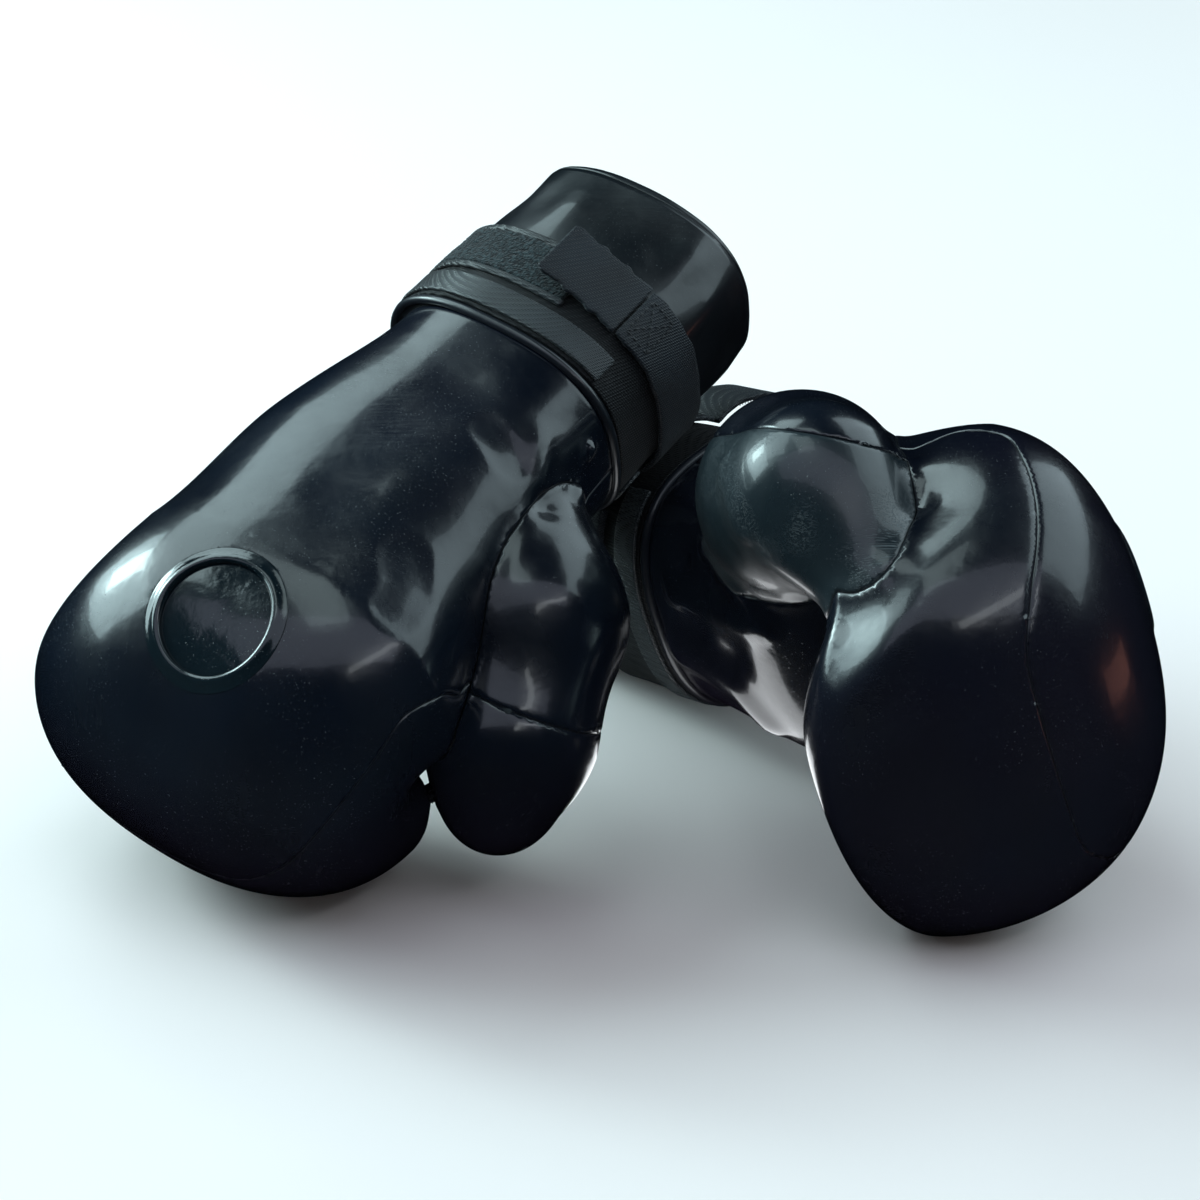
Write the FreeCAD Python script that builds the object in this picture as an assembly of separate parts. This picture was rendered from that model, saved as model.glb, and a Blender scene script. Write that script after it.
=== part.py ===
"""A pair of padded black rubber mitts with hook-and-loop wrist straps.

Each mitt is modelled once as a left hand, in its own frame: X to the thumb, Y to the fingers and
Z out of the back of the hand. The right mitt is its mirror image. The left mitt lies on its
little-finger side; the right one lies palm down with its cuff on the left one's wrist.
All sizes are in millimetres. +Z is up.
"""
import FreeCAD, Part
import math
import os

V = FreeCAD.Vector

# ---- driving dimensions -------------------------------------------------------------------
SKIN = 3.0            # rubber skin
LINING = 1.5          # cloth lining of the hand space
BORE_R = 36.0         # round opening of the cuff
BORE_Z = -1.4         # its axis, from the hand's centre line
CUFF = 89.0           # length of the sleeve
RIM = 4.0             # rolled edge at the sleeve's mouth
FLAT = 1.5            # depth of the flat that the mitt's weight presses in the rubber
SQUARE = 2.5          # squareness of the cross-sections (2 is an ellipse)

# distance along the hand: half width, top, bottom, height of the widest place, shift to the thumb side
SLEEVE_SECTIONS = [(-89, 50.0, 38.6, -41.8, 0, 0), (-45, 50.8, 40.6, -43.2, 0, 0), (0, 51.6, 42.4, -44.5, 0, 0)]
MITT_SECTIONS = [(0, 51.6, 42.4, -44.5, 0, 0), (26, 52.8, 43.0, -46.5, -1, 0), (52, 56.5, 44.3, -49.5, -4, 0),
                 (78, 60.5, 46.0, -49.5, -8, 1), (98, 64.0, 47.2, -51.0, -13, 2), (113, 70.0, 48.3, -65.0, -22, 1),
                 (125, 77.0, 49.2, -83.0, -33, -2), (136, 81.5, 49.3, -95.5, -42, -4), (148, 82.5, 48.0, -101.0, -44, -6),
                 (160, 80.5, 44.8, -99.5, -41, -6), (171, 77.2, 39.6, -94.0, -36, -6), (181, 73.0, 33.0, -87.0, -32, -6),
                 (190, 66.5, 24.5, -79.0, -29, -6), (198, 57.0, 14.0, -69.0, -27, -6), (204.5, 44.0, 1.5, -57.0, -27, -6),
                 (209, 29.0, -10.0, -45.0, -27, -6)]
PAD_SPLIT = 108.0     # the palm pad ends and the knuckle pad wraps under the fingers from here
NOSE = 130.0          # where the mitt starts to round off over the knuckles

# hand space, with the fingers half curled: distance, half width, top, bottom, widest height
SPACE_SECTIONS = [(0, 36.0, 32, -33, 0), (30, 40, 29, -31, 0), (60, 44, 25.5, -28.5, 0), (88, 46, 21.5, -27, -1),
                  (112, 46, 14.5, -33, -7), (130, 45.5, 7, -44.5, -17), (146, 43, -0.5, -52.5, -26),
                  (160, 38, -9.5, -55.5, -32), (171, 29, -19, -50, -34)]

# thumb: centre and radius at four places, root to tip
THUMBS = {
    "left": [(17.0, 34.6, 0.6, 24.6), (59.4, 77.3, -19.3, 33.6), (78.2, 109.6, -36.6, 28.2), (53.8, 144.9, -51.6, 19.6)],
    "right": [(23.7, 29.6, 3.0, 25.0), (64.5, 70.5, -14.4, 31.8), (81.0, 107.0, -33.0, 27.5), (83.5, 120.0, -53.0, 20.0)],
}
THUMB_FOAM = 13.0     # skin and foam around the thumb stall
# seam across the thumb: a point on it and the way to the cap
THUMB_SEAM = {
    "left": ((100, 112, -36), (-0.72, 0.10, -0.68)),
    "right": ((87, 112, -5), (0.05, 0.75, -0.66)),
}

# seam between back and palm panels, seen from the side: along the hand, height
SEAM = [(-5, -4), (60, -5), (104, 0), (128, 8), (148, 16), (164, 10), (180, -3), (192, -19), (201, -33),
        (209, -43), (260, -50)]

BADGE = (4.5, 164.0, 42.5)        # centre of the round badge on the knuckles
BADGE_TILT = 25.0                 # its face leans this far forward
BADGE_R = 25.5
BADGE_RING = 4.6                  # width of the raised ring
BADGE_DEPTH = 8.5

BAND = (-48.0, -3.0)              # wrist band, from and to along the sleeve
BAND_T = 1.2
PILE = (-43.5, -23.0)             # loop pile panel
PILE_T = 1.6
PILE_X = (-60.0, 14.0)
HEM_W, HEM_T = 3.0, 1.8
TAPE = (-16.5, -4.5)              # second, smooth band with a squared end
TAPE_T = 1.6
TAPE_END = 41.0
WELT_R = 2.0
STRAP = (-49.0, -24.0)            # fastening strap
STRAP_T = 2.0
STRAP_GAP = 0.4                   # clear of everything beneath it
HOOK_T = 1.0
ANCHOR = -40.0                            # angle of the strap's sewn end, from the thumb side
STITCH = {"left": 36.0, "right": 52.0}    # angle of the box stitching, where the hook tab starts
LIFT = {"left": 58.0, "right": 1.0}       # how far the tab stands off at its root, in degrees
BEND = {"left": -95.0, "right": -10.0}     # how much more it turns outward along its length
TAB_LEN = {"left": 60.0, "right": 37.0}

# poses: heading and rise of the fingers, roll about them, place of the wrist
POSES = {
    "left": {"heading": -48.2, "rise": 11.65, "roll": 13.4, "at": (57.2, 159.3, 69.6)},
    "right": {"heading": 230.9, "rise": -19.2, "roll": -10.0, "at": (-33.1, 143.1, 147.4)},
}


# ---- section curves -----------------------------------------------------------------------
def superellipse_half(point, a, h, square, sign):
    """Half a cross-section, from +x over the top (or under the bottom) to -x."""
    pts = []
    for k in range(17):
        t = math.pi * k / 16
        c, s = math.cos(t), math.sin(t)
        x = math.copysign(abs(c) ** (2 / square), c) * a if abs(c) > 1e-9 else 0.0
        w = sign * h * abs(s) ** (2 / square)
        pts.append(point(x, w if 0 < k < 16 else 0.0))
    up = (point(0, sign * 1.0) - point(0, 0)).normalize()
    curve = Part.BSplineCurve()
    curve.interpolate(Points=pts, InitialTangent=up, FinalTangent=up * -1)
    return curve.toShape()


def section(point, a, top, bottom, square):
    over = superellipse_half(point, a, top, square, 1)
    under = superellipse_half(point, a, bottom, square, -1)
    return Part.Wire([over, under])


def slice_wire(y, a, top, bottom, widest, shift, square=SQUARE):
    return section(lambda x, w: V(x + shift, y, w + widest), a, top - widest, widest - bottom, square)


def loft(wires):
    return Part.makeLoft(wires, True, False)


# ---- the mitt's solid forms ---------------------------------------------------------------
def form(stations, inset, square=SQUARE):
    """A closed form through the stations, with its sides and its far end moved in by inset."""
    last = stations[-1][0]
    wires = []
    for y, a, top, bottom, widest, shift in stations:
        back = inset * max(0.0, (y - NOSE) / max(last - NOSE, 1.0))
        wires.append(slice_wire(y - back, a - inset, top - inset, bottom + inset, widest, shift, square))
    return loft(wires)


def mitt_solid(inset):
    return form(MITT_SECTIONS, inset)


def sleeve_solid(inset=0.0):
    return form(SLEEVE_SECTIONS, inset)


def space_solid(grow):
    """The room for the hand, grown by the lining's thickness."""
    return form([s + (0,) for s in SPACE_SECTIONS], -grow, 2.2)


def thumb_solid(side, inset, root_trim=0.0):
    """The thumb, as round sections along a curve through its four places."""
    places = THUMBS[side]
    path = Part.BSplineCurve()
    path.interpolate([V(*p[:3]) for p in places])
    first, last = path.FirstParameter, path.LastParameter
    radius = Part.BSplineCurve()
    knots = [path.parameter(V(*p[:3])) for p in places]
    radius.interpolate(Points=[V(p[3], 0, 0) for p in places], Parameters=knots)
    wires = []
    for k in range(9):
        t = first + (last - first) * (root_trim + (1 - root_trim) * k / 8)
        wires.append(ring_section(path.value(t), V(*path.tangent(t)[0]), radius.value(t).x - inset))
    end, along, r = path.value(last), V(*path.tangent(last)[0]), places[-1][3] - inset
    for deg in (28, 50, 68):
        a = math.radians(deg)
        wires.append(ring_section(end + along * (r * math.sin(a)), along, r * math.cos(a)))
    return loft(wires)


def ring_section(centre, along, r):
    side = along.cross(V(0, 0, 1)).normalize()
    up = side.cross(along).normalize()
    return section(lambda x, w: centre + side * x + up * w, r, r, r, 2.0)


def side_prism(outline, half=200.0):
    """A block with the given side outline, right across the mitt."""
    pts = [V(-half, y, z) for y, z in outline]
    face = Part.Face(Part.makePolygon(pts + [pts[0]]))
    return face.extrude(V(2 * half, 0, 0))


def above_seam():
    return side_prism(SEAM + [(260, 300), (-5, 300)])


def slab(y0, y1, x0=-150.0, x1=150.0, z0=-150.0, z1=150.0):
    return Part.makeBox(x1 - x0, y1 - y0, z1 - z0, V(x0, y0, z0))


def disc(centre, axis, r, low, high):
    return Part.makeCylinder(r, high - low, centre + axis * low, axis)


# ---- the parts of one mitt ----------------------------------------------------------------
def biggest(shape):
    """The main solid of a cut, without slivers."""
    solids = sorted(shape.Solids, key=lambda s: s.Volume)
    return solids[-1]


def hand_parts(side):
    outer, inner = mitt_solid(0.0), mitt_solid(SKIN)
    thumb, thumb_in = thumb_solid(side, 0.0, 0.12), thumb_solid(side, SKIN, 0.12)
    stall = thumb_solid(side, THUMB_FOAM)
    space = space_solid(0.0)
    lined = space_solid(LINING)
    upper = above_seam()

    axis = V(0, math.sin(math.radians(BADGE_TILT)), math.cos(math.radians(BADGE_TILT)))
    centre = V(*BADGE)
    pocket = disc(centre, axis, BADGE_R, -BADGE_DEPTH, 40)

    skin = outer.cut(inner).cut(stall).cut(pocket)
    fill = inner.cut(lined).cut(stall).cut(pocket)
    pad_cut = side_prism([(-5, -4), (PAD_SPLIT, -4), (PAD_SPLIT, -250), (300, -250), (300, 300), (-5, 300)])
    thumb_skin = thumb.cut(thumb_in).cut(outer)
    thumb_fill = thumb_in.cut(stall).cut(outer)
    cap_cut = thumb_cap_block(side)

    parts = {
        "back_panel": biggest(skin.common(upper)),
        "palm_panel": biggest(skin.cut(upper)),
        "back_pad": biggest(fill.common(pad_cut)),
        "palm_pad": biggest(fill.cut(pad_cut)),
        "thumb_shell": biggest(thumb_skin.cut(cap_cut)),
        "thumb_tip_cap": biggest(thumb_skin.common(cap_cut)),
        "thumb_pad": biggest(thumb_fill),
        "lining": biggest(lined.cut(space).cut(thumb_hole(side))),
    }
    parts["badge_ring"] = badge_ring(centre, axis)
    parts["badge_dome"] = badge_dome(centre, axis)
    parts["thumb_link"] = thumb_link(side, outer, thumb)
    return parts, outer.fuse(thumb)


def thumb_hole(side):
    """The hole in the lining that the thumb goes through."""
    root, middle = (V(*p[:3]) for p in THUMBS[side][:2])
    along = (middle - root).normalize()
    return Part.makeCylinder(21, 90, root - along * 2, along)


def thumb_cap_block(side):
    """Everything beyond the seam across the thumb."""
    at, along = THUMB_SEAM[side]
    return Part.makeCylinder(120, 150, V(*at), V(*along))


def badge_ring(centre, axis):
    """A raised ring with a rounded top, seated in the pocket."""
    r0, r1 = BADGE_R - BADGE_RING, BADGE_R
    top = -1.0
    profile = Part.makePolygon([V(r0, 0, -BADGE_DEPTH), V(r1, 0, -BADGE_DEPTH), V(r1, 0, top - 1.6),
                                V(r1 - 1.6, 0, top), V(r0 + 1.6, 0, top), V(r0, 0, top - 1.6),
                                V(r0, 0, -BADGE_DEPTH)])
    ring = Part.Face(profile).revolve(V(0, 0, 0), V(0, 0, 1), 360)
    return seat(ring, centre, axis)


def badge_dome(centre, axis):
    """A shallow dome inside the ring."""
    r = BADGE_R - BADGE_RING
    edge, crown = -5.2, -2.6
    arc = Part.Arc(V(0, 0, crown), V(r / 2, 0, crown - 0.55), V(r, 0, edge + 0.4)).toShape()
    lines = Part.makePolygon([V(r, 0, edge + 0.4), V(r, 0, -BADGE_DEPTH), V(0, 0, -BADGE_DEPTH), V(0, 0, crown)])
    dome = Part.Face(Part.Wire([arc] + lines.Edges)).revolve(V(0, 0, 0), V(0, 0, 1), 360)
    return seat(dome, centre, axis)


def seat(shape, centre, axis):
    shape.Placement = FreeCAD.Placement(centre, FreeCAD.Rotation(V(0, 0, 1), axis))
    return shape


def thumb_link(side, outer, thumb):
    """The web that ties the thumb to the side of the hand."""
    x0, y0, z0, r = THUMBS[side][2]
    bar = Part.makeBox(32, 18, 12, V(x0 - 22, y0 - 9, z0 + r - 9))
    return biggest(bar.makeFillet(2.0, bar.Edges).cut(outer).cut(thumb))


# ---- cuff, band and strap -----------------------------------------------------------------
def around(low, high, inner, outer):
    """A band around the sleeve, between two distances from its surface."""
    ring = sleeve_solid(-outer).cut(sleeve_solid(-inner))
    return ring.common(slab(low, high))


def cuff_parts():
    bore = Part.makeCylinder(BORE_R, CUFF + RIM + 10, V(0, -CUFF - RIM - 5, BORE_Z), V(0, 1, 0))
    y, a, top, bottom, widest, shift = SLEEVE_SECTIONS[0]
    rim = loft([slice_wire(y - e, a - s, top - s, bottom + s, widest, shift)
                for e, s in ((0.0, 0.0), (RIM * 0.6, 0.9), (RIM, 2.6))])
    band = around(*BAND, 0.0, BAND_T)
    over = BAND_T
    pile = around(*PILE, over, over + PILE_T).common(slab(-60, 0, PILE_X[0], PILE_X[1], z0=0))
    hem_x = (PILE_X[0], PILE_X[1])
    rear = around(PILE[0] - HEM_W, PILE[0], over, over + HEM_T).common(slab(-60, 0, *hem_x, z0=0))
    front = around(PILE[1], PILE[1] + HEM_W, over, over + HEM_T).common(slab(-60, 0, *hem_x, z0=0))
    gap = slab(-60, 0, TAPE_END, 90, -30, 60)
    tape = around(*TAPE, over, over + TAPE_T).cut(gap)
    welt = around(-WELT_R, WELT_R * 0.8, 0.2, WELT_R)
    return {
        "sleeve": biggest(sleeve_solid().cut(bore)),
        "sleeve_rim": biggest(rim.cut(bore)),
        "wrist_band": biggest(band),
        "pile_panel": biggest(pile),
        "hem_rear": biggest(rear),
        "hem_front": biggest(front),
        "cuff_tape": biggest(tape),
        "wrist_welt": biggest(welt),
    }


def sleeve_edge(y, angle, out):
    """A point at a height above the sleeve, at an angle from the thumb side towards the back."""
    f = (y - SLEEVE_SECTIONS[0][0]) / CUFF
    low, high = SLEEVE_SECTIONS[0], SLEEVE_SECTIONS[-1]
    a, top, bottom = (low[k] + (high[k] - low[k]) * f for k in (1, 2, 3))
    t = math.radians(angle)
    h = top if t > 0 else -bottom
    n = SQUARE
    c, s = math.cos(t), math.sin(t)
    x = a * math.copysign(abs(c) ** (2 / n), c)
    z = h * math.copysign(abs(s) ** (2 / n), s)
    nx = math.copysign(abs(x / a) ** (n - 1) / a, x)
    nz = math.copysign(abs(z / h) ** (n - 1) / h, z)
    m = math.hypot(nx, nz)
    return V(x + nx / m * out, y, z + nz / m * out), V(nx / m, 0, nz / m)


def ribbon(points, outward, thick, y0, y1):
    """A flat strip with its side outline through the points, thick on the outward side."""
    lower = Part.BSplineCurve()
    lower.interpolate(points)
    upper = Part.BSplineCurve()
    upper.interpolate([p + n * thick for p, n in zip(points, outward)])
    ends = [Part.makeLine(points[0], points[0] + outward[0] * thick),
            Part.makeLine(points[-1], points[-1] + outward[-1] * thick)]
    face = Part.Face(Part.Wire(Part.__sortEdges__([lower.toShape(), ends[1], upper.toShape(), ends[0]])))
    strip = face.extrude(V(0, y1 - y0, 0))
    strip.translate(V(0, y0 - points[0].y, 0))
    return strip


def strap_line(first, last, out, steps=9):
    """Points and outward directions along the strap."""
    pts, normals = [], []
    for k in range(steps):
        p, n = sleeve_edge(STRAP[0], first + (last - first) * k / (steps - 1), out)
        pts.append(p)
        normals.append(n)
    return pts, normals


def tab_line(side, out):
    """Points and outward directions along the lifted hook tab, from the box stitching to its free end."""
    clear = 1.2 + 3.2 * math.sin(math.radians(LIFT[side]))
    p, n0 = sleeve_edge(STRAP[0], STITCH[side] + clear, out)
    along0 = V(-n0.z, 0, n0.x)
    pts, normals, steps = [], [], 7
    for k in range(steps):
        turn = math.radians(LIFT[side] + BEND[side] * k / (steps - 1))
        along = along0 * math.cos(turn) + n0 * math.sin(turn)
        pts.append(p)
        normals.append(n0 * math.cos(turn) - along0 * math.sin(turn))
        p = p + along * (TAB_LEN[side] / (steps - 1))
    return pts, normals


def box_stitch(end, out):
    """A sewn square with crossed lines, standing 0.5 off the strap."""
    outer, normals = strap_line(end - 18, end - 3, out, 4)
    inner, inner_n = strap_line(end - 16.5, end - 4.5, out - 0.5, 4)
    mid = (STRAP[0] + STRAP[1]) / 2
    frame = ribbon(outer, normals, 0.5, mid - 9, mid + 9)
    stitch = frame.cut(ribbon(inner, inner_n, 2.0, mid - 7.6, mid + 7.6))
    centre = (outer[1] + outer[2]) * 0.5
    across = outer[3] - outer[0]
    up = (normals[1] + normals[2]).normalize()
    length, turn = math.hypot(18, across.Length) - 2, math.degrees(math.atan2(18, across.Length))
    flat = FreeCAD.Rotation(across.normalize(), V(0, 1, 0), up, "ZYX")
    for a in (turn, -turn):
        bar = Part.makeBox(length, 1.2, 3.0, V(-length / 2, -0.6, -1.5))
        bar.rotate(V(0, 0, 0), V(0, 0, 1), a)
        bar.Placement = FreeCAD.Placement(V(centre.x, mid, centre.z), flat).multiply(bar.Placement)
        stitch = stitch.fuse(bar.common(frame))
    return biggest(stitch)


def strap_parts(side):
    under = BAND_T + max(PILE_T, HEM_T, TAPE_T) + STRAP_GAP
    end = STITCH[side]
    pts, normals = strap_line(ANCHOR, end, under)
    tab, tab_n = tab_line(side, under)
    sewn_low = BAND_T + 0.8
    sewn, sewn_n = strap_line(ANCHOR - 22, ANCHOR - 1.5, sewn_low, 5)
    return {
        "strap": ribbon(pts, normals, STRAP_T, *STRAP),
        "strap_tab": ribbon(tab, tab_n, STRAP_T, *STRAP),
        "hook_patch": ribbon([q - n * (HOOK_T + 0.06) for q, n in zip(tab[2:], tab_n[2:])], tab_n[2:], HOOK_T,
                             STRAP[0] + 2.5, STRAP[1] - 2.5),
        "box_stitch": box_stitch(end, under + STRAP_T + 0.15),
        "strap_anchor": ribbon(sewn, sewn_n, under - sewn_low + STRAP_T, *STRAP),
    }


# ---- placing ------------------------------------------------------------------------------
def hand_axes(side):
    """Directions of the mitt's X (as a left hand), Y and Z in the room."""
    pose = POSES[side]
    h, r = math.radians(pose["heading"]), math.radians(pose["rise"])
    u = V(math.cos(h) * math.cos(r), math.sin(h) * math.cos(r), math.sin(r))
    hint = V(0, 0, 1) if side == "right" else V(math.cos(h + math.pi / 2), math.sin(h + math.pi / 2), 0)
    d = (hint - u * hint.dot(u)).normalize()
    a = math.radians(pose["roll"])
    d = d * math.cos(a) + u.cross(d) * math.sin(a)
    return u.cross(d), u, d


def place(shape, side, drop=0.0):
    if side == "right":
        shape = shape.mirror(V(0, 0, 0), V(1, 0, 0))
    x, y, z = hand_axes(side)
    m = FreeCAD.Matrix(x.x, y.x, z.x, 0, x.y, y.y, z.y, 0, x.z, y.z, z.z, 0, 0, 0, 0, 1)
    at = V(*POSES[side]["at"]) - V(0, 0, drop)
    move = FreeCAD.Placement(at, FreeCAD.Rotation(m))
    out = shape.copy()
    out.Placement = move.multiply(out.Placement)
    return out


def lowest(shape):
    return min(v.z for v in shape.tessellate(0.5)[0])


def build():
    nodes = {}
    for side in ("left", "right"):
        parts, body = hand_parts(side)
        parts.update(cuff_parts())
        parts.update(strap_parts(side))
        whole = place(body.fuse(sleeve_solid()), side)
        drop = lowest(whole) + FLAT
        floor = Part.makeBox(1200, 1200, 200, V(-600, -600, -200))
        for name, shape in parts.items():
            placed = place(shape, side, drop)
            if placed.BoundBox.ZMin < 0:
                placed = biggest(placed.cut(floor))
            nodes[side + "_" + name] = placed
        print(side, "dropped", round(drop, 3))
    boxes = [s.optimalBoundingBox() for s in nodes.values()]
    cx = (min(b.XMin for b in boxes) + max(b.XMax for b in boxes)) / 2
    cy = (min(b.YMin for b in boxes) + max(b.YMax for b in boxes)) / 2
    for shape in nodes.values():
        shape.translate(V(-cx, -cy, 0))
    print("centre", round(cx, 3), round(cy, 3))
    return nodes


os.makedirs("parts", exist_ok=True)
for node, shape in build().items():
    if not shape.isValid():
        print("not valid:", node)
    shape.exportStep("parts/%s.step" % node)
    print(node, round(shape.Volume / 1000, 2), "cm3")
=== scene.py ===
import math
import bmesh
import bpy
import numpy as np
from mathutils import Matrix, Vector
from mathutils.kdtree import KDTree

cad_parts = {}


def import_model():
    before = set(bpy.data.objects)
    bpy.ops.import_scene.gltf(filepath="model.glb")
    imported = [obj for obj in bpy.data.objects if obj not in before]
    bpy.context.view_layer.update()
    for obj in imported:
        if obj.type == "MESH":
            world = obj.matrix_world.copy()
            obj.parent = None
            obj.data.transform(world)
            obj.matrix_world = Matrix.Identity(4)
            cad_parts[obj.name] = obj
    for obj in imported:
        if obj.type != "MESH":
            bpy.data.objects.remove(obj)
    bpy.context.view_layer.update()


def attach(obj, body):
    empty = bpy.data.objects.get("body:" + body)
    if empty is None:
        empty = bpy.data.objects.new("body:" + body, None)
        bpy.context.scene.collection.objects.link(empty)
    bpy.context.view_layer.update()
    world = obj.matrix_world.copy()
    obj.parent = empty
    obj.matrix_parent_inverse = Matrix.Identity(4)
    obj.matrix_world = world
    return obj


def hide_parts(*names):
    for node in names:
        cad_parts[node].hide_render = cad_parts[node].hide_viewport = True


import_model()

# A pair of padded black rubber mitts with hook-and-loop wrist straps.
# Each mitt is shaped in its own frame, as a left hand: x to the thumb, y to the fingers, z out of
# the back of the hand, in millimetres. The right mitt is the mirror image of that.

rng = np.random.default_rng(7)
UP = np.array([0, 0, 1.0])

# ---- where the two mitts lie: heading and rise of the fingers, roll about them, the wrist's place
PLACES = {
    "left": {"heading": -48.2, "rise": 11.65, "roll": 13.4, "at": (54.800, 50.023, 66.549)},
    "right": {"heading": 230.9, "rise": -19.2, "roll": -10.0, "at": (-35.500, 33.823, 145.597)},
}


def axes(side):
    pose = PLACES[side]
    h, r, a = (math.radians(pose[k]) for k in ("heading", "rise", "roll"))
    u = np.array([math.cos(h) * math.cos(r), math.sin(h) * math.cos(r), math.sin(r)])
    hint = UP if side == "right" else np.array([-math.sin(h), math.cos(h), 0])
    d = hint - u * (hint @ u)
    d /= np.linalg.norm(d)
    d = d * math.cos(a) + np.cross(u, d) * math.sin(a)
    x = np.cross(u, d)
    return np.array([-x if side == "right" else x, u, d])


AXES = {side: axes(side) for side in PLACES}


def to_room(side, points):
    """From a mitt's own frame, in mm, to the room, in metres."""
    return (np.asarray(points, float) @ AXES[side] + np.array(PLACES[side]["at"])) / 1000


def to_mitt(side, room):
    """The other way: from the room, in metres, to the mitt's own frame."""
    return (np.asarray(room, float) * 1000 - np.array(PLACES[side]["at"])) @ AXES[side].T


# ---- the mitt's form ----------------------------------------------------------------------
LINE = 132.2                      # straight length of the back of the hand
FOLD_R = 26.75                    # the fingers fold round this radius
FOLD = math.radians(163.2)        # and this far
END_CAP = 29.6                    # how far the fingertips round off past the fold
ARC_LEN = FOLD_R * FOLD
SKIN = 2.4                        # thickness of the rubber

# distance along the mitt: half width, back, palm, shift to the thumb side, squareness
STATIONS = np.array([
    (-89.9, 49.9, 38.4, 41.6, 0.0, 2.61),
    (-25.0, 51.6, 42.4, 44.5, 0.0, 2.61),
    (0.0, 51.6, 42.4, 44.5, 0.0, 2.61),
    (66.1, 59.1, 45.5, 51.5, -0.3, 2.67),
    (LINE, 69.1, 49.5, 32.5, 7.7, 2.73),
    (LINE + ARC_LEN / 2, 77.1, 51.2, 31.0, -5.4, 2.42),
    (LINE + ARC_LEN, 78.4, 51.9, 30.6, -11.5, 2.11),
])

# thumb: centre and radius at four places, how softly they join, and how softly it joins the hand
THUMBS = {
    "left": [(17.0, 34.6, 0.6, 24.6), (59.4, 77.3, -19.3, 34.3),
             (78.6, 109.6, -37.2, 27.4), (53.8, 144.9, -51.7, 19.6)],
    "right": [(23.7, 29.6, 3.0, 25.0), (64.5, 70.5, -14.4, 31.8),
              (81.0, 107.0, -33.0, 27.5), (83.5, 120.0, -53.0, 20.0)],
}
KNUCKLE_BLEND = 18.0
THUMB_BLEND = {"left": 8.6, "right": 3.9}

# seam between the back and palm panels, seen from the side: along the hand, height
SEAM = np.array([(-40, -4), (60, -5), (104, 0), (120, 2), (131, 14), (148, 20), (165, 11), (182, -4),
                 (192, -18), (199, -34), (204, -48), (212, -54), (260, -56)], float)

# seam across the thumb: a point on it and the way to the tip
CAP_SEAM = {"left": ((100, 112, -36), (-0.72, 0.1, -0.68)), "right": ((87, 112, -5), (0.05, 0.75, -0.66))}

BADGE_AT = np.array((4.5, 164.0, 42.5))
BADGE_TILT = math.radians(25)
BADGE_R = 25.5
BADGE_RING = 4.6
BADGE_UP = np.array([0, math.sin(BADGE_TILT), math.cos(BADGE_TILT)])
POCKET = 2.4                      # how deep the badge sits in the skin
POCKET_REACH = 25.0               # and how far under its face the pocket is looked for


def smooth_table(table):
    """A smooth curve through a table's rows that never overshoots them."""
    x, y = table[:, 0], table[:, 1:]
    h = np.diff(x)[:, None]
    d = np.diff(y, axis=0) / h
    m = np.zeros_like(y)
    same = d[:-1] * d[1:] > 0
    w1, w2 = 2 * h[1:] + h[:-1], h[1:] + 2 * h[:-1]
    with np.errstate(divide="ignore", invalid="ignore"):
        m[1:-1] = np.where(same, (w1 + w2) / (w1 / d[:-1] + w2 / d[1:]), 0)
    m[0], m[-1] = d[0], d[-1]

    def value(q):
        i = np.clip(np.searchsorted(x, q) - 1, 0, len(x) - 2)
        t = ((q - x[i]) / (x[i + 1] - x[i]))[..., None]
        hh = h[i]
        return ((1 + 2 * t) * (1 - t) ** 2 * y[i] + t * (1 - t) ** 2 * hh * m[i]
                + t * t * (3 - 2 * t) * y[i + 1] - t * t * (1 - t) * hh * m[i + 1])
    return value


station = smooth_table(STATIONS)
seam_height = smooth_table(SEAM)


def smooth_min(a, b, k):
    h = np.clip(0.5 + 0.5 * (b - a) / k, 0, 1)
    return b + (a - b) * h - k * h * (1 - h)


def section_distance(s, x, w, e, cap):
    """Rough signed distance from the cross-section at distance s along the mitt."""
    row = station(np.clip(s, STATIONS[0, 0], STATIONS[-1, 0]))
    a, back, palm, shift, n = (row[..., k] for k in range(5))
    b = np.where(w > 0, back, palm)
    X, W, E = np.abs(x - shift) / a, np.abs(w) / b, np.abs(e) / cap
    q = (X ** n + W ** n + E ** n + 1e-12) ** (1 / n)
    rate = (X ** (n - 1) / a) ** 2 + (W ** (n - 1) / b) ** 2 + (E ** (n - 1) / cap) ** 2
    return (q - 1) / (q ** (1 - n) * np.sqrt(rate) + 1e-9)


def mitt_distance(p):
    x, y, z = p[..., 0], p[..., 1], p[..., 2]
    hand = section_distance(np.clip(y, -90, LINE), x, z, np.maximum(y - LINE, 0), 30.0)
    dy, dz = y - LINE, z + FOLD_R
    rho = np.hypot(dy, dz) + 1e-9
    turn = np.arctan2(dy, dz)
    turn = np.where(turn < -np.pi / 4, turn + 2 * np.pi, turn)
    beyond = np.maximum(dy * math.cos(FOLD) - dz * math.sin(FOLD), 0)
    under = dy * math.sin(FOLD) + dz * math.cos(FOLD) - FOLD_R
    over = turn > FOLD
    # the fingertips end further back towards the thumb
    share = np.clip((x - 12) / 50, 0, 1)
    cap = END_CAP * (1 - 0.58 * share * share * (3 - 2 * share))
    across, past = np.where(over, under, rho - FOLD_R), np.where(over, beyond, 0)
    fingers = section_distance(LINE + np.clip(turn, 0, FOLD) * FOLD_R, x, across, past, cap)
    fingers = np.where(turn < 0, np.maximum(fingers, -turn * rho * 0.7), fingers)
    return smooth_min(hand, fingers, 0.5 + 8.0 * np.clip((-z - 4) / 20, 0, 1))


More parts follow.
